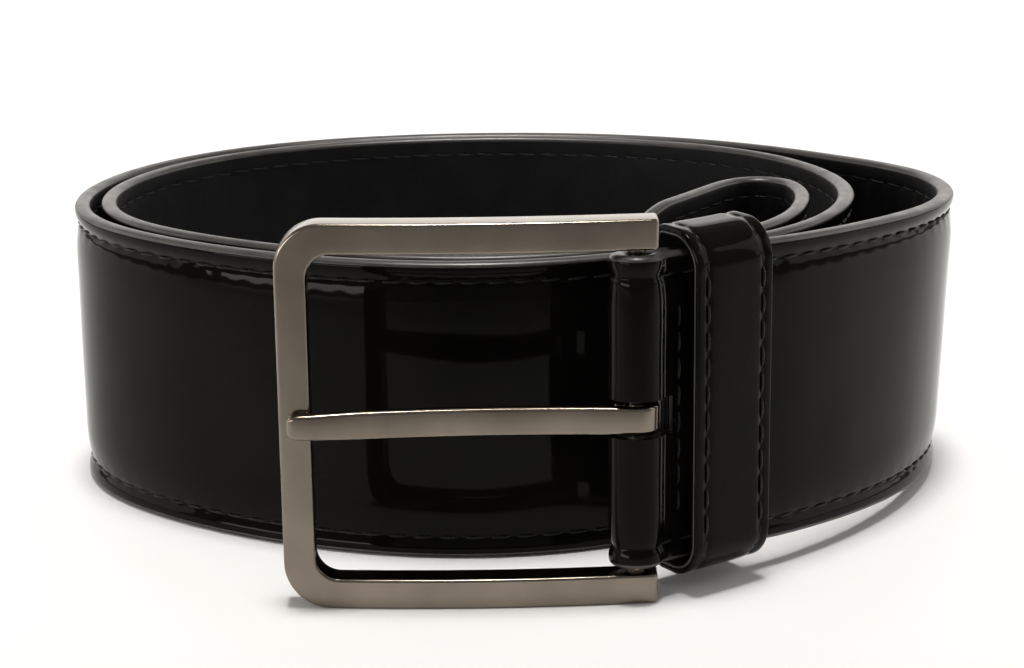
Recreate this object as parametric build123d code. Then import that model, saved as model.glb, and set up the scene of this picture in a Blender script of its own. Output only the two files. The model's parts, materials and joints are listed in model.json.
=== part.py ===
from build123d import *
import math
import os

# A wide patent leather belt, coiled and standing on its lower edge.
# Millimetres, +Z up.  The strap's width runs along Z, the buckle faces -Y and its prong points to -X.
# The strap is one long strip of three bonded layers.  Its plan is a path of tangent arcs, and every
# layer, groove and thread that follows the strap is an offset of that path, extruded along Z.
# The coil stands on the surface at Z = 0.  The buckle's frame stands on it too and is taller than the
# strap, so the stretch between the coil and the buckle rises evenly up a ramp to the bar.

# ---- strap ----
strap_width = 55.0
face_thickness = 1.1
core_thickness = 0.9
lining_thickness = 0.9
bond_gap = 0.1              # glue line between two layers, and between the two plies of the fold
tip_corner_radius = 24.0
hole_diameter = 4.0
hole_count = 5
hole_pitch = 25.0
hole_from_tip = 100.0

# ---- seams ----
seam_inset = 3.8            # row of stitches, from the strap's edge to the thread's centre
thread_width = 0.8
thread_depth = 0.3
thread_gap = 0.05           # thread to the wall of its groove
fold_stitch_run = 6.9       # vertical row that closes the fold, from the bar's axis
fold_stitch_inset = 3.0

# ---- fold round the buckle's bar ----
bar_diameter = 3.2
bar_gap = 0.1               # radial, leather or prong round the bar
fold_bend_radius = 5.0      # reverse bend behind the fold, at the middle of the ply
return_length = 20.0        # turned-back ply, from the bar's axis to its cut end
slot_height = 6.6
slot_end = 6.3              # the prong's slot runs this far past the bar's axis
slot_drop = 0.8             # prong and slot sit this much below the middle of the strap

# ---- coil: (length of arc, turn to the left in degrees) ----
tail_heading = 36.0         # way the doubled end runs, from +X towards +Y
straight_run = 31.0         # from the bar's axis to the first bend
coil_scale = 1.0            # 1 for the coil as it lies, more for a looser coil
RAMP_TURN = [(76.7, 49)]    # the strap rises over this arc and the straight run before it
OUTER_TURN = [(17, 38), (63, 39), (74, 36), (66, 62), (39, 53), (56, 32), (49, 40)]
MIDDLE_TURN = [(14, -1), (64, 69), (53, 61), (86, 48), (51, 52), (45, 64), (45, 23), (50, 44)]
INNER_TURN = [(8, -5), (62, 81), (15, 118), (7, 17), (40, -5)]

# ---- buckle ----
window_gap = 1.0            # strap edge to the arm of the frame, at each end of the bar
arm_height = 5.3
side_width = 5.4
frame_depth = 5.4
frame_reach = 60.4          # bar's axis to the outside of the far side
arm_tail = 3.6              # arm past the bar's axis
outer_corner = 8.0
inner_corner = 4.2
frame_bow = 1.7             # the frame bulges this much towards the front
frame_edge = 0.9
bar_seat = 3.4              # bar's end inside each arm
bar_fit = 0.02              # radial, bar pressed into the arm

# ---- prong ----
prong_height = 4.8
prong_thickness = 2.2
prong_dip = 1.5             # the prong's middle lies this much behind its two ends
prong_overhang = 1.5        # tip stops this far inside the frame's outer side
prong_rest_gap = 0.08

# ---- keeper ----
keeper_width = 16.8
keeper_start = 7.5          # near edge, from the bar's axis
keeper_gap = 0.3            # loop to the back of the strap
keeper_room = 2.4           # spare depth for the belt's tip, in front
keeper_edge_gap = 2.1       # loop to the strap's edges
keeper_band_thickness = 0.9
keeper_lining_thickness = 0.5
keeper_corner = 1.0         # inside corners of the loop
keeper_seam_inset = 2.3

# ---- cutting tools ----
cut_margin = 1.0            # a tool runs this far past what it cuts
tip_cut_margin = 0.01       # less at the tip, where a longer tool would reach the strap's square part

# ---- worked out from the above ----
strap_thickness = face_thickness + core_thickness + lining_thickness + 2 * bond_gap
half_strap = strap_thickness / 2
bar_radius = bar_diameter / 2
ply_offset = half_strap + bond_gap / 2
fold_radius = bar_radius + bar_gap + half_strap
bend_reach = math.sqrt((fold_radius + fold_bend_radius) ** 2 - (ply_offset + fold_bend_radius) ** 2)
bend_angle = 90 - math.degrees(math.atan2(ply_offset + fold_bend_radius, bend_reach))
slot_middle = strap_width / 2 - slot_drop
frame_low = -window_gap - arm_height
frame_high = strap_width + window_gap + arm_height
rise = -frame_low            # the strap's lower edge at the bar, above the surface
prong_front = bar_radius + bar_gap + prong_thickness


def strap_stretches():
    """Every (length, turn) of the strap's middle line, from its turned-back end to its tip.

    The first list is the part that rises up to the buckle, the second is the coil."""
    tail = [
        (return_length - bend_reach, 0),
        (math.radians(bend_angle) * fold_bend_radius, -bend_angle),
        (math.radians(180 + 2 * bend_angle) * fold_radius, 180 + 2 * bend_angle),
        (math.radians(bend_angle) * fold_bend_radius, -bend_angle),
        (straight_run - bend_reach, 0),
    ]
    ramp = [(length * coil_scale, turn) for length, turn in RAMP_TURN]
    coil = [(length * coil_scale, turn) for length, turn in OUTER_TURN + MIDDLE_TURN + INNER_TURN]
    return tail + ramp, coil


def walk(stretches):
    """Start point and heading (degrees) of each stretch, in the frame of the doubled end."""
    x, y, heading = return_length, ply_offset, 180.0
    poses = [(x, y, heading)]
    for length, turn in stretches:
        x, y, heading = step(x, y, heading, length, turn)
        poses.append((x, y, heading))
    return poses


def step(x, y, heading, length, turn):
    """Pose after following one arc (or line, for no turn)."""
    angle = math.radians(heading)
    if turn == 0:
        return x + length * math.cos(angle), y + length * math.sin(angle), heading
    radius = length / math.radians(turn)
    end = angle + math.radians(turn)
    x = x + radius * (math.sin(end) - math.sin(angle))
    y = y - radius * (math.cos(end) - math.cos(angle))
    return x, y, heading + turn


def beside(pose, offset):
    """Point at the given distance to the left of a pose."""
    x, y, heading = pose
    angle = math.radians(heading)
    return (x - offset * math.sin(angle), y + offset * math.cos(angle))


def turned_to(pose):
    """Location with its X axis along the strap's heading and its Y axis towards the lining."""
    x, y, heading = pose
    return Location((x, y, 0), (0, 0, heading))


RAMP, COIL = strap_stretches()
STRETCHES = RAMP + COIL
POSES = walk(STRETCHES)
RAMP_FOOT = POSES[len(RAMP)]


def ramp_length():
    """Distance from the foot of the ramp back to the bar's axis, along the foot's heading."""
    x, y, heading = RAMP_FOOT
    return x * math.cos(math.radians(heading)) + y * math.sin(math.radians(heading))


def ramp_slab(low, high):
    """Everything between two heights above the strap's lower edge, back from the foot of the ramp.

    Heights count from the strap's edge at the bar, so the foot lies lower by the whole rise."""
    slope = rise / ramp_length()
    reach = 2 * ramp_length()
    corners = [
        (0, low - rise), (0, high - rise),
        (-reach, high - rise + slope * reach), (-reach, low - rise + slope * reach),
    ]
    profile = Plane.XZ * make_face(Polyline(*corners, close=True))
    slab = extrude(profile, amount=reach, both=True)
    return turned_to(RAMP_FOOT) * slab


def path_edges(offset, first, last):
    """The strap's path, moved sideways: left is the lining side, right is the face side."""
    edges = []
    for pose, (length, turn) in list(zip(POSES, STRETCHES))[first:last]:
        start = beside(pose, offset)
        end = beside(step(*pose, length, turn), offset)
        if turn == 0:
            edges.append(Edge.make_line(start, end))
        else:
            middle = beside(step(*pose, length / 2, turn / 2), offset)
            edges.append(Edge.make_three_point_arc(start, middle, end))
    return edges


def level_strip(inner, outer, low, high, first, last):
    """A strip that follows some stretches of the path between two side offsets and two heights."""
    one = path_edges(outer, first, last)
    two = path_edges(inner, first, last)
    caps = [Edge.make_line(one[0] @ 0, two[0] @ 0), Edge.make_line(one[-1] @ 1, two[-1] @ 1)]
    face = Face(Wire(one + two + caps))
    solid = extrude(face, amount=high - low, dir=(0, 0, 1))
    return Pos(0, 0, low) * solid


def strip(inner, outer, low, high):
    """A strip that follows the whole strap between two heights above the strap's lower edge."""
    tall_low = low - rise - cut_margin
    tall_high = high + rise + cut_margin
    ramp = level_strip(inner, outer, tall_low, tall_high, 0, len(RAMP)) & ramp_slab(low, high)
    coil = level_strip(inner, outer, low - rise, high - rise, len(RAMP), len(STRETCHES))
    return ramp + coil


def box_between(low, high):
    """Box from one corner to the other."""
    size = [b - a for a, b in zip(low, high)]
    middle = [(a + b) / 2 for a, b in zip(low, high)]
    return Pos(*middle) * Box(*size)


def at_length(distance):
    """Pose on the strap's middle line, measured back from the tip."""
    for pose, (length, turn) in zip(reversed(POSES[:-1]), reversed(STRETCHES)):
        if distance <= length:
            share = 1 - distance / length
            return step(*pose, length * share, turn * share)
        distance -= length
    return POSES[0]


# ---- strap and its seams ----

def seam_heights():
    return {"lower": seam_inset, "upper": strap_width - seam_inset}


def prong_slot():
    """Slot through both plies at the fold, where the prong passes."""
    low = (-2 * fold_radius - half_strap, -2 * fold_radius - half_strap, slot_middle - slot_height / 2)
    high = (slot_end, 2 * fold_radius + half_strap, slot_middle + slot_height / 2)
    return box_between(low, high)


def tip_cutters():
    """What the rounded tip leaves of the strap's square end, below and above."""
    radius = min(tip_corner_radius, strap_width / 2)
    side = 2 * strap_thickness
    cutters = []
    for centre_z, sign in ((radius, -1), (strap_width - radius, 1)):
        corner = Pos(-radius / 2, 0, centre_z + sign * radius) * Box(radius, side, 2 * radius)
        round_end = Pos(-radius, 0, centre_z) * Rot(90, 0, 0) * Cylinder(radius, side)
        end_only = Pos(-radius / 2, 0, centre_z) * Box(2 * radius, 3 * side, 4 * radius)
        waste = (corner & end_only) - round_end
        cutters.append(turned_to(POSES[-1]) * (Pos(tip_cut_margin, 0, -rise) * waste))
    return cutters


def buckle_holes():
    """Punched holes near the tip."""
    holes = []
    depth = strap_thickness + 2 * bond_gap
    for index in range(hole_count):
        pose = at_length(hole_from_tip + index * hole_pitch)
        punch = Pos(0, 0, strap_width / 2 - rise) * Rot(90, 0, 0) * Cylinder(hole_diameter / 2, depth)
        holes.append(turned_to(pose) * punch)
    return holes


def fold_row(side, margin):
    """Vertical row of stitches on the outside (-1) or the inside (1) of the doubled end."""
    surface = ply_offset + half_strap
    half = thread_width / 2 + margin
    depth = thread_depth + margin
    reach = surface - depth
    top = surface + (cut_margin if margin else 0)
    low_y, high_y = sorted((side * reach, side * top))
    low = (fold_stitch_run - half, low_y, fold_stitch_inset + seam_inset - margin)
    high = (fold_stitch_run + half, high_y, strap_width - fold_stitch_inset - seam_inset + margin)
    return box_between(low, high)


def seam(side, height, margin):
    """Row of stitches along the strap on the face (-1) or the lining (1)."""
    surface = side * half_strap
    buried = surface - side * (thread_depth + margin)
    top = surface + side * (bond_gap / 3 if margin else 0)
    inner, outer = sorted((buried, top))
    half = thread_width / 2 + margin
    return strip(inner, outer, height - half, height + half)


def make_strap():
    face_right = -half_strap
    core_right = face_right + face_thickness + bond_gap
    lining_right = core_right + core_thickness + bond_gap
    layers = {
        "strap_face": strip(face_right, face_right + face_thickness, 0, strap_width),
        "strap_core": strip(core_right, core_right + core_thickness, 0, strap_width),
        "strap_lining": strip(lining_right, half_strap, 0, strap_width),
    }
    tools = [prong_slot()] + tip_cutters() + buckle_holes()
    for name in layers:
        for tool in tools:
            layers[name] = layers[name] - tool
    for height in seam_heights().values():
        layers["strap_face"] = layers["strap_face"] - seam(-1, height, thread_gap)
        layers["strap_lining"] = layers["strap_lining"] - seam(1, height, thread_gap)
    for side in (-1, 1):
        layers["strap_face"] = layers["strap_face"] - fold_row(side, thread_gap)
    return layers


def make_seams():
    threads = {}
    cutters = tip_cutters()
    for place, height in seam_heights().items():
        for surface, side in (("face", -1), ("lining", 1)):
            thread = seam(side, height, 0)
            for cutter in cutters:
                thread = thread - cutter
            threads[f"{surface}_seam_{place}"] = thread
    threads["fold_stitch_outer"] = fold_row(-1, 0)
    threads["fold_stitch_inner"] = fold_row(1, 0)
    return threads


# ---- buckle, drawn with the bar's axis at x = 0, y = 0 and the frame's far side towards -X ----

def frame_outline():
    """Front view of the frame: a U that opens towards +X."""
    outer = Pos((arm_tail - frame_reach) / 2, 0, (frame_low + frame_high) / 2)
    outer = outer * Box(arm_tail + frame_reach, 4 * frame_depth, frame_high - frame_low)
    outer = fillet(outer.edges().filter_by(Axis.Y).group_by(Axis.X)[0], outer_corner)
    low = (side_width - frame_reach, -4 * frame_depth, frame_low + arm_height)
    high = (arm_tail + side_width, 4 * frame_depth, frame_high - arm_height)
    window = box_between(low, high)
    window = fillet(window.edges().filter_by(Axis.Y).group_by(Axis.X)[0], inner_corner)
    return outer - window


def frame_slab():
    """Plan view of the frame: a band that bulges towards the front."""
    near = arm_tail
    far = -frame_reach
    middle = (near + far) / 2
    half = frame_depth / 2
    front = ThreePointArc((far, -half), (middle, -half - frame_bow), (near, -half))
    back = ThreePointArc((far, half), (middle, half - frame_bow), (near, half))
    ends = [Line((far, -half), (far, half)), Line((near, -half), (near, half))]
    plan = make_face([front, back] + ends)
    height = frame_high - frame_low + 2 * cut_margin
    return Pos(0, 0, frame_low - cut_margin) * extrude(plan, amount=height, dir=(0, 0, 1))


def make_buckle():
    frame = frame_outline() & frame_slab()
    frame = fillet(frame.edges(), frame_edge)
    seat = bar_seat + bond_gap
    hole_length = strap_width + 2 * window_gap + 2 * seat
    hole = Pos(0, 0, strap_width / 2) * Cylinder(bar_radius + bar_fit, hole_length)
    bar_length = strap_width + 2 * window_gap + 2 * bar_seat
    bar = Pos(0, 0, strap_width / 2) * Cylinder(bar_radius, bar_length)
    return {"buckle_frame": frame - hole, "buckle_bar": bar}


def frame_bulge(x):
    """How far the frame's front stands out at x, between its two ends."""
    half_length = (frame_reach + arm_tail) / 2
    share = (x - arm_tail + half_length) / half_length
    return frame_bow * (1 - share ** 2)


def make_prong():
    """Curled round the bar at one end, resting on the frame's far side at the other."""
    ring_outer = Circle(prong_front)
    tip_x = prong_overhang - frame_reach
    knee_x = side_width - frame_reach
    root_y = -prong_front
    knee_y = -frame_depth / 2 - frame_bulge(knee_x) - prong_rest_gap - prong_thickness
    middle = (knee_x / 2, (root_y + knee_y) / 2 + prong_dip)
    back_middle = (middle[0], middle[1] + prong_thickness)
    front = ThreePointArc((knee_x, knee_y), middle, (0, root_y))
    back = ThreePointArc((knee_x, knee_y + prong_thickness), back_middle, (0, root_y + prong_thickness))
    ends = [
        Line((knee_x, knee_y), (tip_x, knee_y)),
        Line((tip_x, knee_y), (tip_x, knee_y + prong_thickness)),
        Line((tip_x, knee_y + prong_thickness), (knee_x, knee_y + prong_thickness)),
        Line((0, root_y), (0, root_y + prong_thickness)),
    ]
    blade = make_face([front, back] + ends)
    plan = blade + ring_outer - Circle(bar_radius + bar_gap)
    solid = extrude(plan, amount=prong_height, dir=(0, 0, 1))
    solid = Pos(0, 0, slot_middle - prong_height / 2) * solid
    tip_edges = solid.edges().filter_by(Axis.Y).group_by(Axis.X)[0]
    solid = fillet(tip_edges, prong_height / 3)
    return {"prong": solid}


# ---- keeper: a loop round the doubled end, free to slide ----

def loop(grow, low_u, high_u, thickness):
    """Rounded rectangular loop, its inside grown outwards by 'grow' from the free space."""
    wall = ply_offset + half_strap
    back = wall + keeper_gap + grow
    front = wall + keeper_gap + keeper_room + grow
    depth = back + front
    height = strap_width + 2 * keeper_edge_gap + 2 * grow
    inner = RectangleRounded(depth, height, keeper_corner + grow)
    outer = RectangleRounded(depth + 2 * thickness, height + 2 * thickness, keeper_corner + grow + thickness)
    ring = Plane.YZ * Pos((back - front) / 2, strap_width / 2) * (outer - inner)
    return Pos(low_u, 0, 0) * extrude(ring, amount=high_u - low_u, dir=(1, 0, 0))


def make_keeper():
    start = keeper_start
    end = keeper_start + keeper_width
    lining = loop(0, start, end, keeper_lining_thickness)
    band_grow = keeper_lining_thickness + bond_gap
    band = loop(band_grow, start, end, keeper_band_thickness)
    parts = {}
    thread_grow = band_grow + keeper_band_thickness - thread_depth
    rows = {"near": start + keeper_seam_inset, "far": end - keeper_seam_inset}
    for place, middle in rows.items():
        low = middle - thread_width / 2
        high = middle + thread_width / 2
        parts[f"keeper_seam_{place}"] = loop(thread_grow, low, high, thread_depth)
        groove = loop(thread_grow - thread_gap, low - thread_gap, high + thread_gap, 2 * thread_depth)
        band = band - groove
    parts["keeper_band"] = band
    parts["keeper_lining"] = lining
    return parts


def main():
    parts = {}
    turned = Rot(0, 0, tail_heading)
    for group in (make_strap(), make_seams(), make_keeper()):
        for name, solid in group.items():
            parts[name] = turned * solid
    for group in (make_buckle(), make_prong()):
        parts.update(group)
    boxes = [solid.bounding_box(optimal=False) for solid in parts.values()]
    middle_x = (min(box.min.X for box in boxes) + max(box.max.X for box in boxes)) / 2
    middle_y = (min(box.min.Y for box in boxes) + max(box.max.Y for box in boxes)) / 2
    to_origin = Pos(-middle_x, -middle_y, -frame_low)
    os.makedirs("parts", exist_ok=True)
    for name, solid in parts.items():
        moved = to_origin * solid
        moved.label = name
        export_step(moved, f"parts/{name}.step")
    print("bar axis at", -middle_x, -middle_y, "strap's lower edge at", -frame_low)
    print("strap length", sum(length for length, turn in STRETCHES))


main()
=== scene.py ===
import json
import math

import bpy
import numpy as np
from mathutils import Euler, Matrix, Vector


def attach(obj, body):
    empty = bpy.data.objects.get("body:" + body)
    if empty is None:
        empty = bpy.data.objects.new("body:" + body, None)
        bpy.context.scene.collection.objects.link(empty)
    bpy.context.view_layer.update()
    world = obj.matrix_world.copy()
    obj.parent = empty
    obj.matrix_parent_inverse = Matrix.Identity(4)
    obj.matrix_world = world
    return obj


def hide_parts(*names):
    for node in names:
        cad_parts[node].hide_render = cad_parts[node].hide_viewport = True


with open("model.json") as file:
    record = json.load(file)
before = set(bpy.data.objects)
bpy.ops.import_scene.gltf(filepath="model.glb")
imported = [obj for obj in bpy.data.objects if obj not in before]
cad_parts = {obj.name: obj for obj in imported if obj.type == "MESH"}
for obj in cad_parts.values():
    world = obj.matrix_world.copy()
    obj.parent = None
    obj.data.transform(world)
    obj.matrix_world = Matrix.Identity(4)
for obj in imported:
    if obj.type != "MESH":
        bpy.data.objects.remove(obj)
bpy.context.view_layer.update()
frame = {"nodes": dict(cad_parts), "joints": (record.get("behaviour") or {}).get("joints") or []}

# A coiled patent leather belt with a prong buckle.  Lengths in this script are millimetres until
# add_mesh() turns them into metres; the bar's axis and the way the doubled end runs come from the joints.
MM = 0.001

# ---- sizes shared with the CAD model ----
STRAP_THICKNESS = 3.1
FACE_SIDE = -STRAP_THICKNESS / 2
LINING_SIDE = STRAP_THICKNESS / 2
PLY_OFFSET = 1.6
FOLD_RADIUS = 3.25
FOLD_BEND_RADIUS = 5.0
RETURN_LENGTH = 20.0
STRAIGHT_RUN = 31.0
RAMP_TURN = [(76.7, 49)]
OUTER_TURN = [(17, 38), (63, 39), (74, 36), (66, 62), (39, 53), (56, 32), (49, 40)]
MIDDLE_TURN = [(14, -1), (64, 69), (53, 61), (86, 48), (51, 52), (45, 64), (45, 23), (50, 44)]
INNER_TURN = [(8, -5), (62, 81), (15, 118), (7, 17), (40, -5)]
TIP_RADIUS = 24.0
HOLE_RADIUS = 2.0
HOLES_FROM_TIP = [100.0, 125.0, 150.0, 175.0, 200.0]
SLOT_HEIGHT = 6.6
SLOT_END = 6.3
SLOT_DROP = 0.8
SEAM_INSET = 3.8
STITCH_PITCH = 4.7
FOLD_ROW = 6.9
FOLD_ROW_INSET = 6.8
PADDING = 0.62              # how far the middle of the face stands above its seams
PADDING_END = 10.5          # the padding is full this far from the edge
SEAM_PRESS = 0.10           # how far the whole margin is pressed down beside the padding
FACE_THREAD = 0.23          # thread radii
LINING_THREAD = 0.17
FOLD_THREAD = 0.20
KEEPER_THREAD = 0.21

joints = {joint["name"]: joint for joint in frame["joints"]}
BAR = np.array(joints["buckle_pivot"]["pos_m"]) / MM
SLIDE = joints["keeper_slide"]["axis"]
TAIL_HEADING = math.atan2(SLIDE[1], SLIDE[0])
STRAP_WIDTH = 55.0
WINDOW_GAP = 1.0
ARM_HEIGHT = 5.3
RISE = WINDOW_GAP + ARM_HEIGHT            # the strap's lower edge at the bar
BAR_MIDDLE = RISE + STRAP_WIDTH / 2

# The photo's coil is wider than the upright CAD strap, so the visual is set out at both ends.
COIL_END = 86.0             # the set-out is full at this x
FLARE_START = 62.0          # the right end leans: only the outer turn reaches past this x
FLARE_LOW = 0.7             # at the strap's lower edge
FLARE_HIGH = 3.2            # and at its upper edge
SHIFT_START = 40.0          # the left end moves out evenly from this x on
SHIFT_LEFT = 0.9


# ---- small tools ----

def flared(verts):
    """The strap set out at the coil's ends: leaning at the right, evenly at the left."""
    verts = np.array(verts, dtype=float)
    height = verts[:, 2] / STRAP_WIDTH
    lean = FLARE_LOW + (FLARE_HIGH - FLARE_LOW) * height
    right = smooth_step(FLARE_START, COIL_END, verts[:, 0]) * lean
    left = smooth_step(SHIFT_START, COIL_END, -verts[:, 0]) * SHIFT_LEFT
    verts[:, 0] += right - left
    return verts


def add_mesh(name, verts, faces, material, body, replaces=(), sharp=35):
    """A mesh piece from points in millimetres; faces is an array of quads or a list of loops."""
    if body == "strap":
        verts = flared(verts)
    mesh = bpy.data.meshes.new(name)
    verts = np.asarray(verts, dtype=float) * MM
    if isinstance(faces, np.ndarray):
        used = np.unique(faces)
        renumber = np.full(len(verts), -1)
        renumber[used] = np.arange(len(used))
        verts = verts[used]
        faces = renumber[faces]
        mesh.vertices.add(len(verts))
        mesh.vertices.foreach_set("co", verts.ravel())
        mesh.loops.add(faces.size)
        mesh.loops.foreach_set("vertex_index", faces.ravel())
        mesh.polygons.add(len(faces))
        mesh.polygons.foreach_set("loop_start", np.arange(0, faces.size, faces.shape[1]))
        mesh.update(calc_edges=True)
    else:
        mesh.from_pydata([tuple(v) for v in verts], [], [tuple(f) for f in faces])
    mesh.validate()
    mesh.shade_smooth()
    mesh.set_sharp_from_angle(angle=math.radians(sharp))
    piece = bpy.data.objects.new(name, mesh)
    bpy.context.scene.collection.objects.link(piece)
    mesh.materials.append(material)
    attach(piece, body)
    if replaces:
        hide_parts(*replaces)
    return piece


def lines(*runs):
    """Sorted grid lines through runs of (start, end, step), ends included."""
    values = []
    for start, end, step in runs:
        count = max(1, round((end - start) / step))
        values.extend(np.linspace(start, end, count + 1))
    values = np.unique(np.round(values, 4))
    keep = np.concatenate([[True], np.diff(values) > 0.03])
    return values[keep]


def smooth_step(edge0, edge1, x):
    share = np.clip((x - edge0) / (edge1 - edge0), 0, 1)
    return share * share * (3 - 2 * share)


def waviness(seed, amount, shortest, longest, count=14):
    """A smooth uneven surface: the same sum of sines every run."""
    rng = np.random.default_rng(seed)
    lengths = rng.uniform(shortest, longest, count)
    angles = rng.uniform(0, math.pi, count)
    phases = rng.uniform(0, 2 * math.pi, count)

    def height(a, b):
        total = np.zeros_like(a)
        for length, angle, phase in zip(lengths, angles, phases):
            along = a * math.cos(angle) + b * math.sin(angle)
            total = total + np.sin(2 * math.pi * along / length + phase)
        return amount * total / math.sqrt(count)

    return height


def sheet_faces(keep, wrap):
    """Quads of a closed thick sheet: both sides of every kept cell, and a wall wherever it stops."""
    cells_s, cells_z = keep.shape
    rows = cells_s if wrap else cells_s + 1
    columns = cells_z + 1
    i, j = np.nonzero(keep)
    far = (i + 1) % rows

    def top(a, b):
        return a * columns + b

    def under(a, b):
        return rows * columns + a * columns + b

    padded = np.zeros((cells_s + 2, cells_z + 2), dtype=bool)
    padded[1:-1, 1:-1] = keep
    if wrap:
        padded[0, 1:-1] = keep[-1]
        padded[-1, 1:-1] = keep[0]
    quads = [
        np.stack([top(i, j), top(far, j), top(far, j + 1), top(i, j + 1)], 1),
        np.stack([under(i, j), under(i, j + 1), under(far, j + 1), under(far, j)], 1),
    ]
    walls = (
        (~padded[i + 1, j], lambda a, b, c: (top(b, c), top(a, c), under(a, c), under(b, c))),
        (~padded[i + 1, j + 2],
         lambda a, b, c: (top(a, c + 1), top(b, c + 1), under(b, c + 1), under(a, c + 1))),
        (~padded[i, j + 1], lambda a, b, c: (top(a, c), top(a, c + 1), under(a, c + 1), under(a, c))),
        (~padded[i + 2, j + 1], lambda a, b, c: (top(b, c + 1), top(b, c), under(b, c), under(b, c + 1))),
    )
    for open_side, corners in walls:
        quads.append(np.stack(corners(i[open_side], far[open_side], j[open_side]), 1))
    return np.concatenate(quads)


def tube_grid(count, around):
    """Faces of a stack of rings with the same number of points each, closed at both ends."""
    faces = []
    for ring in range(count - 1):
        for k in range(around):
            a = ring * around + k
            b = ring * around + (k + 1) % around
            faces.append((a, b, b + around, a + around))
    faces.append(tuple(range(around - 1, -1, -1)))
    faces.append(tuple(range((count - 1) * around, count * around)))
    return faces


def circle_through(a, b, c):
    """Centre and radius of the circle through three points."""
    (ax, ay), (bx, by), (cx, cy) = a, b, c
    aa, bb, cc = ax**2 + ay**2, bx**2 + by**2, cx**2 + cy**2
    d = 2 * (ax * (by - cy) + bx * (cy - ay) + cx * (ay - by))
    ux = (aa * (by - cy) + bb * (cy - ay) + cc * (ay - by)) / d
    uy = (aa * (cx - bx) + bb * (ax - cx) + cc * (bx - ax)) / d
    return (ux, uy), math.hypot(ax - ux, ay - uy)


# ---- the strap's path ----

def strap_stretches():
    """Every (length, turn) of the strap's middle line, from its turned-back end to its tip."""
    reach = math.sqrt((FOLD_RADIUS + FOLD_BEND_RADIUS) ** 2 - (PLY_OFFSET + FOLD_BEND_RADIUS) ** 2)
    bend = 90 - math.degrees(math.atan2(PLY_OFFSET + FOLD_BEND_RADIUS, reach))
    tail = [
        (RETURN_LENGTH - reach, 0),
        (math.radians(bend) * FOLD_BEND_RADIUS, -bend),
        (math.radians(180 + 2 * bend) * FOLD_RADIUS, 180 + 2 * bend),
        (math.radians(bend) * FOLD_BEND_RADIUS, -bend),
        (STRAIGHT_RUN - reach, 0),
    ]
    return tail + RAMP_TURN, OUTER_TURN + MIDDLE_TURN + INNER_TURN, reach


TAIL, COIL, BEND_REACH = strap_stretches()
FOOT = sum(length for length, turn in TAIL)              # where the strap has come down to the floor
TAIL_LENGTH = FOOT - sum(length for length, turn in RAMP_TURN)
STRAP_LENGTH = FOOT + sum(length for length, turn in COIL)
FOLD_END = TAIL_LENGTH - (STRAIGHT_RUN - BEND_REACH)      # where the outgoing ply runs straight
FINE = 0.05                # sampling of the path
EASE = 8.0                 # how softly the coil's bends run into each other
EASE_TIGHT = 1.5           # and the small loop before the tip


def cad_path(steps):
    """The CAD model's middle line: x, y in the doubled end's own frame, at every step."""
    curvature = np.zeros_like(steps)
    start = 0.0
    for length, turn in TAIL + COIL:
        curvature[(steps >= start) & (steps < start + length)] = math.radians(turn) / length
        start += length
    heading = math.pi + np.concatenate([[0], np.cumsum(curvature[:-1]) * FINE])
    middle = heading + curvature * FINE / 2
    x = RETURN_LENGTH + np.concatenate([[0], np.cumsum(np.cos(middle[:-1])) * FINE])
    y = PLY_OFFSET + np.concatenate([[0], np.cumsum(np.sin(middle[:-1])) * FINE])
    return x, y


def eased(values, reach):
    """The values averaged over a bell curve, carried on in a straight line past both ends."""
    at = np.arange(-3 * reach, 3 * reach + FINE, FINE)
    kernel = np.exp(-0.5 * (at / reach) ** 2)
    half = len(kernel) // 2
    padded = np.pad(values, half, mode="reflect", reflect_type="odd")
    return np.convolve(padded, kernel / kernel.sum(), mode="same")[half:half + len(values)]


def walk_path():
    """The path with the coil's bends eased into each other, as leather lies; the fold stays exact."""
    steps = np.arange(0, STRAP_LENGTH + FINE, FINE)
    x, y = cad_path(steps)
    loop = STRAP_LENGTH - sum(length for length, turn in INNER_TURN[2:])
    tight = smooth_step(loop - 20, loop - 4, steps)
    free = smooth_step(TAIL_LENGTH - 4, TAIL_LENGTH + 12, steps)
    slow = free * (1 - tight)
    x = slow * eased(x, EASE) + free * tight * eased(x, EASE_TIGHT) + (1 - free) * x
    y = slow * eased(y, EASE) + free * tight * eased(y, EASE_TIGHT) + (1 - free) * y
    heading = np.unwrap(np.arctan2(np.gradient(y), np.gradient(x)))
    turn_cos, turn_sin = math.cos(TAIL_HEADING), math.sin(TAIL_HEADING)
    world_x = BAR[0] + x * turn_cos - y * turn_sin
    world_y = BAR[1] + x * turn_sin + y * turn_cos
    return steps, world_x, world_y, heading + TAIL_HEADING


PATH = walk_path()


def on_path(s, side):
    """x, y at distance s along the strap, moved to the left (lining side) by side."""
    steps, x, y, heading = PATH
    angle = np.interp(s, steps, heading)
    px = np.interp(s, steps, x) - side * np.sin(angle)
    py = np.interp(s, steps, y) + side * np.cos(angle)
    return px, py


def ramp_lift(s, x, y):
    """Height of the strap's lower edge: it rises evenly from the foot of the ramp to the bar."""
    foot_x, foot_y = on_path(FOOT, 0.0)
    heading = np.interp(FOOT, PATH[0], PATH[3])
    back = (foot_x - x) * math.cos(heading) + (foot_y - y) * math.sin(heading)
    whole = (foot_x - BAR[0]) * math.cos(heading) + (foot_y - BAR[1]) * math.sin(heading)
    soft = 8.0
    eased_back = np.where(back > soft, back, np.clip(back + soft, 0, 2 * soft) ** 2 / (4 * soft))
    return np.where(s < FOOT + soft, RISE * eased_back / whole, 0.0)


# ---- strap grids ----

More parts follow.
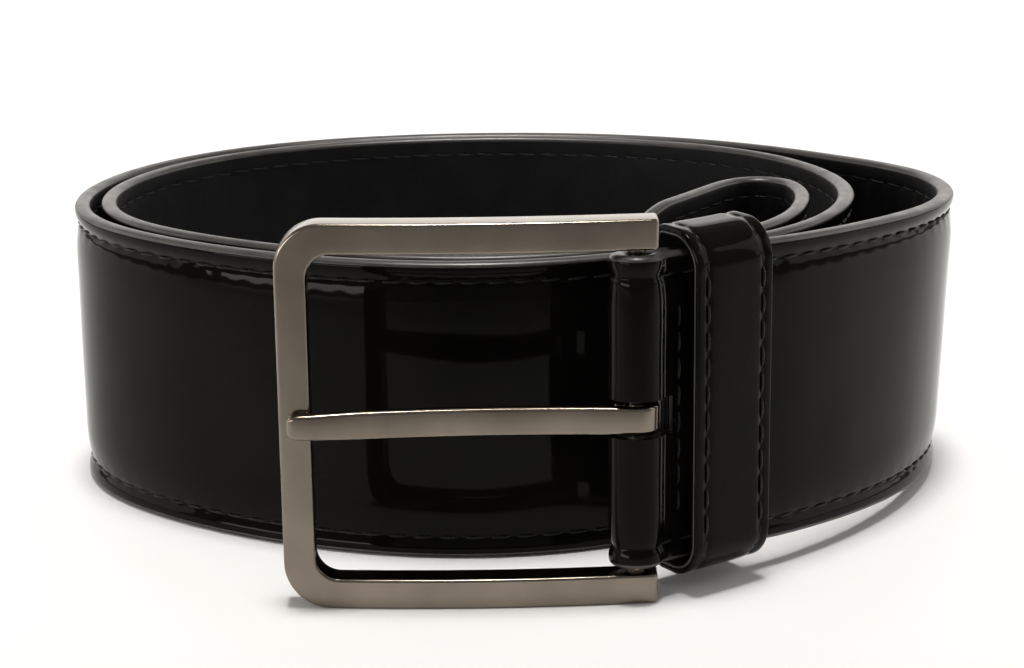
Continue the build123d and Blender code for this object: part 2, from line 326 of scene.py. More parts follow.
MIDDLE = STRAP_WIDTH / 2
RETURN_ROW = RETURN_LENGTH - FOLD_ROW                 # the fold's stitches on the turned-back ply
OUTGOING_ROW = FOLD_END + FOLD_ROW - BEND_REACH       # and on the outgoing ply
SLOT_START = RETURN_LENGTH - SLOT_END
SLOT_STOP = FOLD_END + SLOT_END - BEND_REACH
SLOT_LOW = MIDDLE - SLOT_DROP - SLOT_HEIGHT / 2
SLOT_HIGH = MIDDLE - SLOT_DROP + SLOT_HEIGHT / 2


def strap_s_lines():
    holes = [(STRAP_LENGTH - d - 3, STRAP_LENGTH - d + 3, 0.5) for d in HOLES_FROM_TIP]
    outer_end = FOOT + sum(length for length, turn in OUTER_TURN)
    loop = STRAP_LENGTH - 62
    return lines(
        (0, SLOT_START, 0.5), (SLOT_START, SLOT_STOP, 0.4), (SLOT_STOP, TAIL_LENGTH, 0.5),
        (TAIL_LENGTH, outer_end + 20, 0.78), (outer_end + 20, loop, 1.3), (loop, loop + 22, 0.6),
        (loop + 22, STRAP_LENGTH - 26, 1.2), (STRAP_LENGTH - 26, STRAP_LENGTH - 2, 0.8),
        (STRAP_LENGTH - 2, STRAP_LENGTH, 0.2), *holes)


def strap_z_lines(first, detailed):
    """Heights across the strap: fine at the edges and along the seams."""
    if detailed:
        half = [(first, 1.3, 0.22), (1.3, 2.3, 0.5), (2.3, 5.3, 0.3), (5.3, 8.5, 0.5), (8.5, MIDDLE - 5, 1.6)]
    else:
        half = [(first, 0.9, 0.15), (0.9, 1.3, 0.13), (1.3, MIDDLE - 5, 6.0)]
    upper = [(STRAP_WIDTH - end, STRAP_WIDTH - start, step) for start, end, step in half]
    centre = [
        (MIDDLE - 5, SLOT_LOW, 0.5), (SLOT_LOW, MIDDLE - HOLE_RADIUS, 0.6),
        (MIDDLE - HOLE_RADIUS, MIDDLE + HOLE_RADIUS, 0.5), (MIDDLE + HOLE_RADIUS, SLOT_HIGH, 0.3),
        (SLOT_HIGH, MIDDLE + 5, 0.6)]
    return lines(*half, *centre, *upper)


def tip_height(s):
    """Half of the strap's width at s: it narrows in two arcs at the tip."""
    into = np.clip(s - (STRAP_LENGTH - TIP_RADIUS), 0, TIP_RADIUS)
    drop = TIP_RADIUS - np.sqrt(np.maximum(TIP_RADIUS ** 2 - into ** 2, 0))
    return STRAP_WIDTH / 2 - drop


def edge_distance(s, z):
    """Distance from a point of the strap to its outline, with the rounded tip."""
    across = np.abs(z - MIDDLE) - (STRAP_WIDTH / 2 - TIP_RADIUS)
    along = s - (STRAP_LENGTH - TIP_RADIUS)
    corner = TIP_RADIUS - np.hypot(across, along)
    straight = np.minimum(TIP_RADIUS - across, TIP_RADIUS - along)
    return np.where((across > 0) & (along > 0), corner, straight)


def strap_grid(first, detailed):
    """Grids of s and z over the strap, and which cells are leather: not the slot, not the holes."""
    s_lines = strap_s_lines()
    z_lines = strap_z_lines(first, detailed)
    s, z = np.meshgrid(s_lines, z_lines, indexing="ij")
    s = s - first * smooth_step(STRAP_LENGTH - 6, STRAP_LENGTH, s)
    z = MIDDLE + (z - MIDDLE) * tip_height(s) / (STRAP_WIDTH / 2)
    middle_s = (s[:-1, :-1] + s[1:, 1:]) / 2
    middle_z = (z[:-1, :-1] + z[1:, 1:]) / 2
    slot = (middle_s > SLOT_START) & (middle_s < SLOT_STOP)
    slot &= (middle_z > SLOT_LOW) & (middle_z < SLOT_HIGH)
    keep = ~slot
    for distance in HOLES_FROM_TIP:
        centre = STRAP_LENGTH - distance
        keep &= np.hypot(middle_s - centre, middle_z - MIDDLE) > HOLE_RADIUS * 1.02
        rim = np.abs(np.hypot(s - centre, z - MIDDLE) - HOLE_RADIUS) < 0.45
        rim &= touches_gap(keep)
        angle = np.arctan2(z - MIDDLE, s - centre)
        s = np.where(rim, centre + HOLE_RADIUS * np.cos(angle), s)
        z = np.where(rim, MIDDLE + HOLE_RADIUS * np.sin(angle), z)
    return s, z, keep


def touches_gap(keep):
    """Grid points that have both a kept cell and an open cell beside them."""
    cells = np.pad(keep, 1, mode="edge")
    corners = np.stack([cells[:-1, :-1], cells[1:, :-1], cells[:-1, 1:], cells[1:, 1:]])
    return corners.any(0) & ~corners.all(0)


def sheet_points(s, z, side):
    x, y = on_path(s, side)
    return np.stack([x, y, z + ramp_lift(s, x, y)], -1).reshape(-1, 3)


def padding(distance):
    """How far the face lies below its full height: padded inside the seams, pulled down along them."""
    slope = (1 - np.clip((distance - SEAM_INSET) / (PADDING_END - SEAM_INSET), 0, 1)) ** 2
    return (SEAM_PRESS + PADDING * smooth_step(1.6, SEAM_INSET, distance)) * slope


def stitch_dents(s, z, distance):
    """How deep the thread pulls the surface in: a channel with a pucker at every stitch."""
    phase = np.cos(2 * math.pi * s / STITCH_PITCH)
    channel = np.exp(-((distance - SEAM_INSET) / 0.55) ** 2)
    pucker = np.exp(-((distance - SEAM_INSET - 0.8) / 1.6) ** 2)
    depth = 0.15 * channel * (1 + 0.3 * phase) + 0.022 * pucker * (0.4 + phase)
    for row in (RETURN_ROW, OUTGOING_ROW):
        inside = smooth_step(FOLD_ROW_INSET - 2, FOLD_ROW_INSET, z)
        inside = inside * (1 - smooth_step(STRAP_WIDTH - FOLD_ROW_INSET, STRAP_WIDTH - FOLD_ROW_INSET + 2, z))
        across = np.cos(2 * math.pi * z / STITCH_PITCH)
        groove = np.exp(-((s - row) / 0.7) ** 2) * (1 + 0.35 * across)
        depth = depth + 0.22 * inside * groove
    return depth


def strap_pieces(materials):
    face_wave = waviness(3, 0.035, 14, 55)
    s, z, keep = strap_grid(0.55, True)
    distance = edge_distance(s, z)
    rounding = 0.75
    fall = np.clip(rounding - (distance - 0.5), 0, rounding)
    turned = rounding - np.sqrt(np.maximum(rounding ** 2 - fall ** 2, 0))
    padded = padding(distance) * (1 - 0.35 * (1 - smooth_step(FOLD_END, FOLD_END + 12, s)))
    outside = FACE_SIDE + turned * 0.9 + padded + stitch_dents(s, z, distance)
    outside = outside + face_wave(s, z) * smooth_step(0.5, 6, distance)
    inside = np.maximum(outside + 0.25, FACE_SIDE + 1.05)
    verts = np.concatenate([sheet_points(s, z, outside), sheet_points(s, z, inside)])
    add_mesh("strap_patent_face", verts, sheet_faces(keep, False), materials["patent"],
             "strap", ["strap_face"], sharp=40)

    lining_wave = waviness(8, 0.03, 10, 40)
    outside = LINING_SIDE - 0.04 - turned * 0.8 - stitch_dents(s, z, distance) * 0.55
    outside = outside - np.abs(lining_wave(s, z)) * smooth_step(0.5, 6, distance)
    inside = np.minimum(outside - 0.2, LINING_SIDE - 0.85)
    verts = np.concatenate([sheet_points(s, z, inside), sheet_points(s, z, outside)])
    add_mesh("strap_soft_lining", verts, sheet_faces(keep, False), materials["lining"],
             "strap", ["strap_lining"], sharp=40)

    s, z, keep = strap_grid(0.0, False)
    distance = edge_distance(s, z)
    cap = 0.95
    round_part = np.sqrt(np.clip(1 - ((cap - np.clip(distance, 0, cap)) / cap) ** 2, 0.0, 1))
    bead = 1.47 * np.maximum(round_part, 0.05)
    half = bead + (0.42 - 1.47) * smooth_step(cap, cap + 0.35, distance)
    verts = np.concatenate([sheet_points(s, z, -half + 0.06), sheet_points(s, z, half + 0.02)])
    add_mesh("strap_core_and_painted_edge", verts, sheet_faces(keep, False), materials["edge"],
             "strap", ["strap_core"], sharp=60)


# ---- stitches ----

def stitch_run(points, radius, material, name, node, body, normals):
    """One piece of thread showing per stitch: it dips into its hole at both ends."""
    around = 8
    along = 7
    angles = np.linspace(0, 2 * math.pi, around, endpoint=False)
    verts = []
    faces = []
    pattern = tube_grid(along, around)
    for (start, end), normal in zip(points, normals):
        start, end, normal = np.array(start), np.array(end), np.array(normal)
        along_way = end - start
        length = np.linalg.norm(along_way)
        direction = along_way / length
        side = np.cross(direction, normal)
        base = len(verts)
        for step in range(along):
            share = step / (along - 1)
            rise = math.sin(math.pi * share) ** 0.6
            centre = start + along_way * share + normal * (rise - 0.55) * radius * 1.6
            swell = radius * (0.62 + 0.38 * math.sin(math.pi * share) ** 0.5)
            for angle in angles:
                verts.append(centre + swell * (math.cos(angle) * side * 1.15 + math.sin(angle) * normal))
        faces.extend(tuple(base + k for k in face) for face in pattern)
    return add_mesh(name, np.array(verts), faces, material, body, [node], sharp=80)


def seam_stitches(name, node, lower, lining, material):
    """Stitches of one row along the strap."""
    surface = (LINING_SIDE - 0.04 - 0.02) if lining else (FACE_SIDE + PADDING + SEAM_PRESS + 0.14)
    out = 1 if lining else -1
    height = SEAM_INSET if lower else STRAP_WIDTH - SEAM_INSET
    pairs = []
    normals = []
    count = int((STRAP_LENGTH - 1.0) / STITCH_PITCH)
    reach = STITCH_PITCH * 0.40
    for k in range(count):
        middle = (k + 0.5) * STITCH_PITCH
        if middle + reach > STRAP_LENGTH - SEAM_INSET:
            break
        ends = []
        for s, lean in ((middle - reach, -0.12), (middle + reach, 0.12)):
            drop = STRAP_WIDTH / 2 - float(tip_height(np.array(min(s + SEAM_INSET * 0.4, STRAP_LENGTH))))
            z = height + (drop if lower else -drop) + lean
            ends.append(sheet_points(np.array(s), np.array(z), np.array(surface))[0])
        pairs.append(ends)
        x0, y0 = on_path(np.array(middle), 0.0)
        x1, y1 = on_path(np.array(middle), float(out))
        normals.append((float(x1 - x0), float(y1 - y0), 0.0))
    radius = LINING_THREAD if lining else FACE_THREAD
    return stitch_run(pairs, radius, material, name, node, "strap", normals)


def fold_stitches(name, node, row, material):
    """Stitches of one vertical row, on the face side of its ply."""
    pairs = []
    normals = []
    surface = FACE_SIDE + 0.20
    count = int((STRAP_WIDTH - 2 * FOLD_ROW_INSET) / STITCH_PITCH)
    first = MIDDLE - count * STITCH_PITCH / 2
    for k in range(count):
        middle = first + (k + 0.5) * STITCH_PITCH
        ends = []
        for z in (middle - STITCH_PITCH * 0.4, middle + STITCH_PITCH * 0.4):
            ends.append(sheet_points(np.array(row), np.array(z), np.array(surface))[0])
        pairs.append(ends)
        x0, y0 = on_path(np.array(row), 0.0)
        x1, y1 = on_path(np.array(row), -1.0)
        normals.append((float(x1 - x0), float(y1 - y0), 0.0))
    return stitch_run(pairs, FOLD_THREAD, material, name, node, "strap", normals)


def all_seams(material):
    for place in ("lower", "upper"):
        seam_stitches(f"face_stitches_{place}", f"face_seam_{place}", place == "lower", False, material)
        seam_stitches(f"lining_stitches_{place}", f"lining_seam_{place}", place == "lower", True, material)
    fold_stitches("fold_stitches_outer", "fold_stitch_outer", OUTGOING_ROW, material)
    fold_stitches("fold_stitches_inner", "fold_stitch_inner", RETURN_ROW, material)


# ---- keeper ----

KEEPER_WIDTH = 16.8
KEEPER_START = 7.5
KEEPER_BACK = 3.45          # free space behind the middle of the doubled end
KEEPER_FRONT = 5.85         # and in front of it
KEEPER_HALF = 29.3          # free half height
KEEPER_WALL = 1.5
KEEPER_ROW_INSET = 2.3
KEEPER_CROWN = 0.28         # the front stands this much higher along its middle
KEEPER_FRONT_CORNER = 5.2
KEEPER_BACK_CORNER = 1.0
KEEPER_CORNER_STEPS = 14


def keeper_outline():
    """Closed loop round the doubled end as (depth, height): front is negative depth."""
    corners = [
        (-KEEPER_FRONT, -KEEPER_HALF, KEEPER_FRONT_CORNER, 270),
        (-KEEPER_FRONT, KEEPER_HALF, KEEPER_FRONT_CORNER, 180),
        (KEEPER_BACK, KEEPER_HALF, KEEPER_BACK_CORNER, 90),
        (KEEPER_BACK, -KEEPER_HALF, KEEPER_BACK_CORNER, 360)]
    points = []
    for depth, height, radius, start in corners:
        centre_d = depth - math.copysign(radius, depth)
        centre_h = height - math.copysign(radius, height)
        for k in range(KEEPER_CORNER_STEPS + 1):
            angle = math.radians(start - 90 * k / KEEPER_CORNER_STEPS)
            points.append((centre_d + radius * math.cos(angle), centre_h + radius * math.sin(angle)))
    return np.array(points)


def resample_loop(points, count):
    """The same loop with evenly spaced points, and the outward normal at each."""
    ring = np.vstack([points, points[:1]])
    lengths = np.concatenate([[0], np.cumsum(np.linalg.norm(np.diff(ring, axis=0), axis=1))])
    at = np.linspace(0, lengths[-1], count, endpoint=False)
    out = np.stack([np.interp(at, lengths, ring[:, 0]), np.interp(at, lengths, ring[:, 1])], 1)
    ahead = np.roll(out, -1, 0) - np.roll(out, 1, 0)
    ahead /= np.linalg.norm(ahead, axis=1)[:, None]
    normal = np.stack([-ahead[:, 1], ahead[:, 0]], 1)
    centre = out.mean(0)
    flip = np.sign(((out - centre) * normal).sum(1))
    return out, normal * np.median(flip), at, lengths[-1]


def keeper_points(loop, normal, grow, along):
    """World points of a loop moved outwards by grow, at distances along the strap."""
    depth = loop[:, None, 0] + normal[:, None, 0] * grow
    height = loop[:, None, 1] + normal[:, None, 1] * grow
    along = np.broadcast_to(along, depth.shape)
    turn_cos, turn_sin = math.cos(TAIL_HEADING), math.sin(TAIL_HEADING)
    x = BAR[0] + along * turn_cos - depth * turn_sin
    y = BAR[1] + along * turn_sin + depth * turn_cos
    z = BAR_MIDDLE + height
    return np.stack([x, y, np.broadcast_to(z, depth.shape)], -1).reshape(-1, 3)


def keeper_shell(name, shape, grid, low, high, material, node):
    """A closed band round the loop between two outward offsets."""
    loop, normal = shape
    along = (KEEPER_START + grid)[None, :]
    sides = [keeper_points(loop, normal, grow, along) for grow in (high, low)]
    keep = np.ones((len(loop), len(grid) - 1), dtype=bool)
    add_mesh(name, np.concatenate(sides), sheet_faces(keep, True)[:, ::-1], material, "keeper",
             [node], sharp=40)


def rolled_edge(grid, radius):
    """How far the surface turns down towards both edges of the band."""
    edge = np.minimum(grid, KEEPER_WIDTH - grid)
    return (radius - np.sqrt(np.maximum(radius ** 2 - np.clip(radius - edge, 0, radius) ** 2, 0)))[None, :]


def keeper_band(shape, at, pitch, material):
    near = [(0, 0.5, 0.1), (0.5, 1.2, 0.25), (1.2, 3.4, 0.2)]
    far = [(KEEPER_WIDTH - end, KEEPER_WIDTH - start, step) for start, end, step in near]
    across = lines(*near, (3.4, KEEPER_WIDTH - 3.4, 0.8), *far)
    edge = np.minimum(across, KEEPER_WIDTH - across)
    phase = np.cos(2 * math.pi * at / pitch)[:, None]
    channel = np.exp(-((edge - KEEPER_ROW_INSET) / 0.7) ** 2)[None, :]
    dents = 0.22 * channel * (1 + 0.35 * phase)
    crown = KEEPER_CROWN * (1 - ((across - KEEPER_WIDTH / 2) / (KEEPER_WIDTH / 2)) ** 2)[None, :]
    front = smooth_step(-1.0, -KEEPER_FRONT, shape[0][:, 0])[:, None]
    wave = waviness(21, 0.03, 6, 30)
    position = np.broadcast_to(at[:, None], (len(at), len(across)))
    uneven = wave(position, np.broadcast_to(across[None, :], position.shape))
    roll = rolled_edge(across, 0.55)
    top = KEEPER_WALL - roll - dents - KEEPER_CROWN * front + crown * front + uneven
    bottom = np.minimum(np.full_like(top, 0.58) + 0.25 * roll, top - 0.1)
    keeper_shell("keeper_patent_band", shape, across, bottom, top, material, "keeper_band")


def keeper_lining(shape, material):
    inner = lines((0, 0.4, 0.1), (0.4, KEEPER_WIDTH - 0.4, 1.2), (KEEPER_WIDTH - 0.4, KEEPER_WIDTH, 0.1))
    roll = np.broadcast_to(rolled_edge(inner, 0.25), (len(shape[0]), len(inner)))
    keeper_shell("keeper_soft_lining", shape, inner, roll, 0.54 - roll, material,
                 "keeper_lining")


def keeper_seams(shape, at, around, pitch, material):
    loop, normal = shape

    def round_loop(values, s):
        return np.interp(s, at, values, period=around)

    for place, row in (("near", KEEPER_ROW_INSET), ("far", KEEPER_WIDTH - KEEPER_ROW_INSET)):
        pairs = []
        normals = []
        for k in range(round(around / pitch)):
            middle = (k + 0.5) * pitch
            ends = []
            for offset in (-0.4, 0.4):
                s = (middle + offset * pitch) % around
                point = np.array([[round_loop(loop[:, 0], s), round_loop(loop[:, 1], s)]])
                away = np.array([[round_loop(normal[:, 0], s), round_loop(normal[:, 1], s)]])
                along = np.array([[KEEPER_START + row]])
                ends.append(keeper_points(point, away, KEEPER_WALL - 0.24, along)[0])
            pairs.append(ends)
            away = round_loop(normal[:, 0], middle)
            up = round_loop(normal[:, 1], middle)
            normals.append((-away * math.sin(TAIL_HEADING), away * math.cos(TAIL_HEADING), up))
        stitch_run(pairs, KEEPER_THREAD, material, f"keeper_stitches_{place}", f"keeper_seam_{place}",
                   "keeper", normals)


def keeper_pieces(materials):
    loop, normal, at, around = resample_loop(keeper_outline(), 300)
    pitch = around / round(around / STITCH_PITCH)
    keeper_band((loop, normal), at, pitch, materials["patent"])
    keeper_lining((loop, normal), materials["edge"])
    keeper_seams((loop, normal), at, around, pitch, materials["thread"])


# ---- buckle ----

FRAME_LOW = -RISE
FRAME_HIGH = STRAP_WIDTH + RISE
SIDE_WIDTH = 5.4
FRAME_DEPTH = 5.4
FRAME_REACH = 60.4
ARM_TAIL = 3.6
OUTER_CORNER = 8.0
INNER_CORNER = 4.2
FRAME_BOW = 1.7


def frame_front(x):
    """How far the frame stands out at x, measured from the bar's axis."""
    half_length = (FRAME_REACH + ARM_TAIL) / 2
    share = (x - ARM_TAIL + half_length) / half_length
    return -FRAME_BOW * (1 - share ** 2)


def u_outline(high, low, far, corner):
    """Points round one line of the U, from the end of the upper arm to the end of the lower one."""
    corner_steps = 16
    arm_steps = 40
    side_steps = 24
    arm = [ARM_TAIL + (far + corner - ARM_TAIL) * k / arm_steps for k in range(arm_steps)]
    points = [(x, high) for x in arm]
    for start, middle in ((90, high - corner), (180, low + corner)):
        for k in range(corner_steps + 1):
            angle = math.radians(start + 90 * k / corner_steps)
            points.append((far + corner + corner * math.cos(angle), middle + corner * math.sin(angle)))
        if start == 90:
            side = low - high + 2 * corner
            points.extend((far, high - corner + side * k / side_steps) for k in range(1, side_steps))
    points.extend((x, low) for x in reversed(arm))
    return np.array(points)


def frame_stations():
    """The same number of points along the frame's outer and inner line."""
    outer = u_outline(FRAME_HIGH, FRAME_LOW, -FRAME_REACH, OUTER_CORNER)
    inner = u_outline(FRAME_HIGH - ARM_HEIGHT, FRAME_LOW + ARM_HEIGHT, SIDE_WIDTH - FRAME_REACH, INNER_CORNER)
    return outer, inner


def rounded_section(width, depth, radius, steps=5):
    """Loop of a rounded rectangle as (across 0..width, depth -half..half)."""
    points = []
    for cx, cy, start in ((width - radius, depth / 2 - radius, 0), (radius, depth / 2 - radius, 90),
                          (radius, radius - depth / 2, 180), (width - radius, radius - depth / 2, 270)):
        for k in range(steps + 1):
            angle = math.radians(start + 90 * k / steps)
            points.append((cx + radius * math.cos(angle), cy + radius * math.sin(angle)))
    return points


def frame_piece(material):
    outer, inner = frame_stations()
    rings = []
    edge = 0.55
    end_insets = [(0.55, 0.0), (0.3, 0.13), (0.13, 0.3), (0.0, 0.55)]
    first = [(outer[0], inner[0], inset, -shift) for inset, shift in end_insets]
    body = [(outer[k], inner[k], 0.0, 0.0) for k in range(1, len(outer) - 1)]
    last = [(outer[-1], inner[-1], inset, -shift) for inset, shift in reversed(end_insets)]
    for o, n, inset, shift in first + body + last:
        across = n - o
        width = np.linalg.norm(across)
        across = across / width
        section = rounded_section(width - 2 * inset, FRAME_DEPTH - 2 * inset, max(edge - inset * 0.6, 0.2))
        ring = []
        for a, b in section:
            x = o[0] + across[0] * (a + inset) + shift
            z = o[1] + across[1] * (a + inset)
            ring.append((BAR[0] + x, BAR[1] + frame_front(x) + b, RISE + z))
        rings.append(ring)
    verts = np.array(rings).reshape(-1, 3)
    faces = tube_grid(len(rings), len(rings[0]))
    return add_mesh("buckle_frame_polished", verts, faces, material, "buckle",
                    ["buckle_frame"], sharp=50)


PRONG_HEIGHT = 4.8
PRONG_THICKNESS = 2.2
PRONG_FRONT = 3.9
PRONG_DIP = 1.5
PRONG_OVERHANG = 1.5


def prong_line():
    """The prong's middle line from tip to root, then round the bar to its curled end."""
    knee_x = SIDE_WIDTH - FRAME_REACH
    tip_x = PRONG_OVERHANG - FRAME_REACH
    knee_y = frame_front(knee_x) - FRAME_DEPTH / 2 - 0.08 - PRONG_THICKNESS / 2
    root_y = -PRONG_FRONT + PRONG_THICKNESS / 2
    middle = np.array([knee_x / 2, (knee_y + root_y) / 2 + PRONG_DIP])
    centre, radius = circle_through((knee_x, knee_y), middle, (0, root_y))
    line = [(tip_x + (knee_x - tip_x) * k / 8, knee_y) for k in range(8)]
    start = math.atan2(knee_y - centre[1], knee_x - centre[0])
    end = math.atan2(root_y - centre[1], 0 - centre[0])
    for k in range(41):
        angle = start + (end - start) * k / 40
        line.append((centre[0] + radius * math.cos(angle), centre[1] + radius * math.sin(angle)))
    ring_radius = PRONG_FRONT - PRONG_THICKNESS / 2
    for k in range(1, 37):
        angle = math.radians(-90 + 292 * k / 36)
        line.append((ring_radius * math.cos(angle), ring_radius * math.sin(angle)))
    line = np.array(line)
    for _ in range(3):
        line[1:46] = (line[:45] + 2 * line[1:46] + line[2:47]) / 4
    return line


def prong_piece(material):
    line = prong_line()
    ahead = np.gradient(line, axis=0)
    ahead /= np.linalg.norm(ahead, axis=1)[:, None]
    left = np.stack([-ahead[:, 1], ahead[:, 0]], 1)
    total = len(line)
    travel = np.concatenate([[0], np.cumsum(np.linalg.norm(np.diff(line, axis=0), axis=1))])
    rings = []
    middle_z = BAR_MIDDLE - SLOT_DROP
    for k in range(total):
        from_tip = travel[k]
        round_tip = math.sqrt(max(1 - (1 - min(from_tip / 1.8, 1)) ** 2, 0.02))
        from_end = travel[-1] - from_tip
        round_end = math.sqrt(max(1 - (1 - min(from_end / 0.7, 1)) ** 2, 0.05))
        height = PRONG_HEIGHT * (0.88 + 0.12 * min(from_tip / 12, 1)) * (0.55 + 0.45 * round_tip)
        thickness = PRONG_THICKNESS * round_end * (0.35 + 0.65 * round_tip) - 0.02
        if k >= total - 3:
            height = PRONG_HEIGHT * (0.86 + 0.14 * round_end)
        section = rounded_section(height, thickness, min(0.7, thickness * 0.42))
        ring = []
        for a, b in section:
            x = line[k, 0] + left[k, 0] * b
            y = line[k, 1] + left[k, 1] * b
            ring.append((BAR[0] + x, BAR[1] + y, middle_z + a - height / 2))
        rings.append(ring)
    verts = np.array(rings).reshape(-1, 3)
    faces = tube_grid(len(rings), len(rings[0]))
    faces = [face[::-1] for face in faces]
    return add_mesh("prong_polished", verts, faces, material, "prong", ["prong"], sharp=50)


# ---- materials ----

def new_material(name, **settings):
    material = bpy.data.materials.new(name)
    material.use_nodes = True
    shader = material.node_tree.nodes["Principled BSDF"]
    for key, value in settings.items():
        shader.inputs[key].default_value = value
    return material, material.node_tree, shader


def noise(tree, scale, detail):
    coords = tree.nodes.new("ShaderNodeTexCoord")
    texture = tree.nodes.new("ShaderNodeTexNoise")
    texture.inputs["Scale"].default_value = scale
    texture.inputs["Detail"].default_value = detail
    tree.links.new(coords.outputs["Object"], texture.inputs["Vector"])
    return texture.outputs["Fac"]


def spread(tree, source, low, high):
    """Map the middle of a noise's range to low..high."""
    node = tree.nodes.new("ShaderNodeMapRange")
    node.inputs["From Min"].default_value = 0.3
    node.inputs["From Max"].default_value = 0.7
    node.inputs["To Min"].default_value = low
    node.inputs["To Max"].default_value = high
    tree.links.new(source, node.inputs["Value"])
    return node.outputs["Result"]


def colour_between(tree, source, dark, light):
    node = tree.nodes.new("ShaderNodeValToRGB")
    node.color_ramp.elements[0].position = 0.35
    node.color_ramp.elements[1].position = 0.68
    node.color_ramp.elements[0].color = (*dark, 1)
    node.color_ramp.elements[1].color = (*light, 1)
    tree.links.new(source, node.inputs["Fac"])
    return node.outputs["Color"]


def bump(tree, shader, source, distance, strength, previous=None):
    node = tree.nodes.new("ShaderNodeBump")
    node.inputs["Strength"].default_value = strength
    node.inputs["Distance"].default_value = distance
    tree.links.new(source, node.inputs["Height"])
    if previous is not None:
        tree.links.new(previous, node.inputs["Normal"])
    tree.links.new(node.outputs["Normal"], shader.inputs["Normal"])
    return node.outputs["Normal"]


def patent_material():
    material, tree, shader = new_material(
        "patent_leather", **{"IOR": 1.36, "Specular IOR Level": 0.13})
    colour = colour_between(tree, noise(tree, 60, 4), (0.0022, 0.0019, 0.0017), (0.0044, 0.0038, 0.0034))
    tree.links.new(colour, shader.inputs["Base Color"])
    tree.links.new(spread(tree, noise(tree, 45, 5), 0.035, 0.085), shader.inputs["Roughness"])
    slow = bump(tree, shader, noise(tree, 55, 1.5), 0.00012, 0.7)
    bump(tree, shader, noise(tree, 900, 2), 0.000006, 0.6, previous=slow)
    return material


def lining_material():
    material, tree, shader = new_material(
        "lining_leather", **{"IOR": 1.45, "Specular IOR Level": 0.2, "Sheen Weight": 0.04,
                             "Sheen Roughness": 0.45})
    colour = colour_between(tree, noise(tree, 140, 6), (0.0030, 0.0030, 0.0032), (0.0068, 0.0064, 0.0068))
    tree.links.new(colour, shader.inputs["Base Color"])
    tree.links.new(spread(tree, noise(tree, 260, 4), 0.48, 0.66), shader.inputs["Roughness"])
    coords = tree.nodes.new("ShaderNodeTexCoord")
    cells = tree.nodes.new("ShaderNodeTexVoronoi")
    cells.inputs["Scale"].default_value = 1500
    tree.links.new(coords.outputs["Object"], cells.inputs["Vector"])
    grain = bump(tree, shader, cells.outputs["Distance"], 0.00005, 0.5)
    bump(tree, shader, noise(tree, 320, 5), 0.0001, 0.35, previous=grain)
    return material


def edge_material():
    material, tree, shader = new_material(
        "painted_edge", **{"IOR": 1.5, "Specular IOR Level": 0.5, "Coat Weight": 0.15, "Coat Roughness": 0.3})
    tree.links.new(colour_between(tree, noise(tree, 180, 5), (0.022, 0.020, 0.018), (0.048, 0.043, 0.039)),
                   shader.inputs["Base Color"])
    tree.links.new(spread(tree, noise(tree, 240, 4), 0.30, 0.46), shader.inputs["Roughness"])
    bump(tree, shader, noise(tree, 420, 4), 0.00008, 0.4)
    return material


def thread_material():
    material, tree, shader = new_material("waxed_thread", **{"Roughness": 0.5, "Specular IOR Level": 0.25})
    tree.links.new(colour_between(tree, noise(tree, 700, 3), (0.003, 0.0027, 0.0025), (0.009, 0.0085, 0.008)),
                   shader.inputs["Base Color"])
    coords = tree.nodes.new("ShaderNodeTexCoord")
    twist = tree.nodes.new("ShaderNodeTexWave")
    twist.bands_direction = "DIAGONAL"
    twist.inputs["Scale"].default_value = 900
    twist.inputs["Distortion"].default_value = 1.5
    tree.links.new(coords.outputs["Object"], twist.inputs["Vector"])
    bump(tree, shader, twist.outputs["Fac"], 0.0001, 0.6)
    return material


def metal_material():
    material, tree, shader = new_material("gunmetal", **{"Metallic": 1.0, "IOR": 1.5})
    tree.links.new(colour_between(tree, noise(tree, 90, 6), (0.192, 0.162, 0.130), (0.245, 0.208, 0.169)),
                   shader.inputs["Base Color"])
    tree.links.new(spread(tree, noise(tree, 130, 6), 0.13, 0.22), shader.inputs["Roughness"])
    bump(tree, shader, noise(tree, 1400, 3), 0.000006, 0.2)
    return material


def make_materials():
    return {
        "patent": patent_material(),
        "lining": lining_material(),
        "edge": edge_material(),
        "thread": thread_material(),
        "metal": metal_material(),
    }


# ---- scene ----

def make_floor():
    floor = bpy.data.meshes.new("floor")
    size = 6.0
    corners = [(-size, -size, 0), (size, -size, 0), (size, size, 0), (-size, size, 0)]
    floor.from_pydata(corners, [], [(0, 1, 2, 3)])
    piece = bpy.data.objects.new("floor", floor)
    bpy.context.scene.collection.objects.link(piece)
    material, tree, shader = new_material("pale_floor", **{"Roughness": 0.7, "Specular IOR Level": 0.2})
    tree.links.new(colour_between(tree, noise(tree, 3, 2), (0.86, 0.86, 0.86), (0.88, 0.88, 0.88)),
                   shader.inputs["Base Color"])
    floor.materials.append(material)


def area_light(name, place, target, size, power, colour, spread=180):
    data = bpy.data.lights.new(name, "AREA")
    data.spread = math.radians(spread)
    data.shape = "RECTANGLE"
    data.size, data.size_y = size
    data.energy = power
    data.color = colour
    lamp = bpy.data.objects.new(name, data)
    lamp.location = place
    lamp.rotation_euler = (Vector(target) - Vector(place)).to_track_quat("-Z", "Y").to_euler()
    bpy.context.scene.collection.objects.link(lamp)


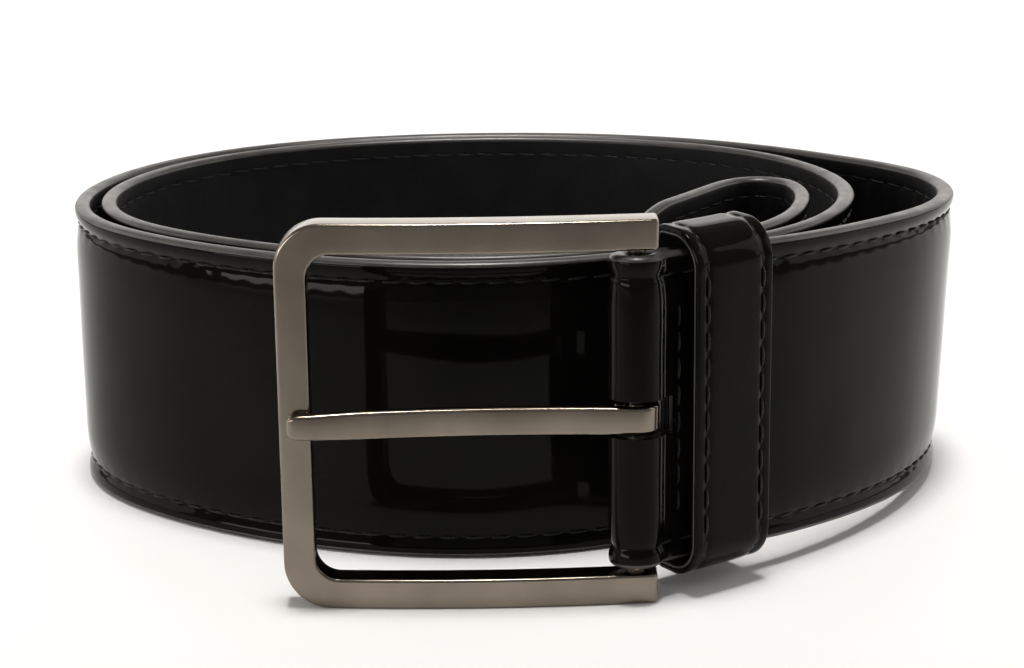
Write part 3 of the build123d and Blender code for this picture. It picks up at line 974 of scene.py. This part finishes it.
def make_lights():
    """Gridded softbox overhead, panels behind and at the sides, and a low strip at the front left."""
    world = bpy.data.worlds.new("studio")
    bpy.context.scene.world = world
    world.use_nodes = True
    background = world.node_tree.nodes["Background"]
    background.inputs["Color"].default_value = (1, 0.98, 0.95, 1)
    background.inputs["Strength"].default_value = 0.28
    warm = (1, 0.975, 0.945)
    area_light("overhead", (0, 0.38, 1.0), (0, 0.38, 0), (1.9, 1.1), 5.5, warm, 16)
    area_light("back_panel", (0, 1.45, 0.55), (0, 0, 0.2), (2.6, 0.9), 10, warm)
    area_light("kicker", (-0.85, -0.74, 0.155), (0, 0, 0.05), (0.80, 0.17), 2.8, warm)
    area_light("left_panel", (-1.0, 0.2, 0.4), (0, 0, 0.05), (0.9, 0.7), 2.5, warm)
    area_light("right_panel", (1.0, 0.2, 0.4), (0, 0, 0.05), (0.9, 0.7), 2.5, warm)


def make_camera():
    """Seen from a little above, square to the buckle, slightly rolled."""
    elevation = math.radians(15.4)
    distance = 495.0
    middle = Vector((BAR[0] - 20.9, BAR[1] + 72.8, STRAP_WIDTH / 2))
    place = (middle + distance * Vector((0, -math.cos(elevation), math.sin(elevation)))) * MM
    ahead = Vector((0, math.cos(elevation), -math.sin(elevation)))
    data = bpy.data.cameras.new("camera")
    camera = bpy.data.objects.new("camera", data)
    camera.location = place
    aim = ahead.to_track_quat("-Z", "Y").to_matrix().to_4x4()
    roll = Euler((0, 0, math.radians(-0.7))).to_matrix().to_4x4()
    camera.rotation_euler = (aim @ roll).to_euler()
    data.sensor_width = 36
    data.lens = 36 * 2500 / 1024
    data.clip_start = 0.01
    bpy.context.scene.collection.objects.link(camera)
    bpy.context.scene.camera = camera


def main():
    materials = make_materials()
    strap_pieces(materials)
    all_seams(materials["thread"])
    keeper_pieces(materials)
    frame_piece(materials["metal"])
    prong_piece(materials["metal"])
    bar = frame["nodes"]["buckle_bar"]
    bar.data.materials.clear()
    bar.data.materials.append(materials["metal"])
    make_floor()
    make_lights()
    make_camera()
    bpy.context.scene.view_settings.view_transform = "Standard"


main()
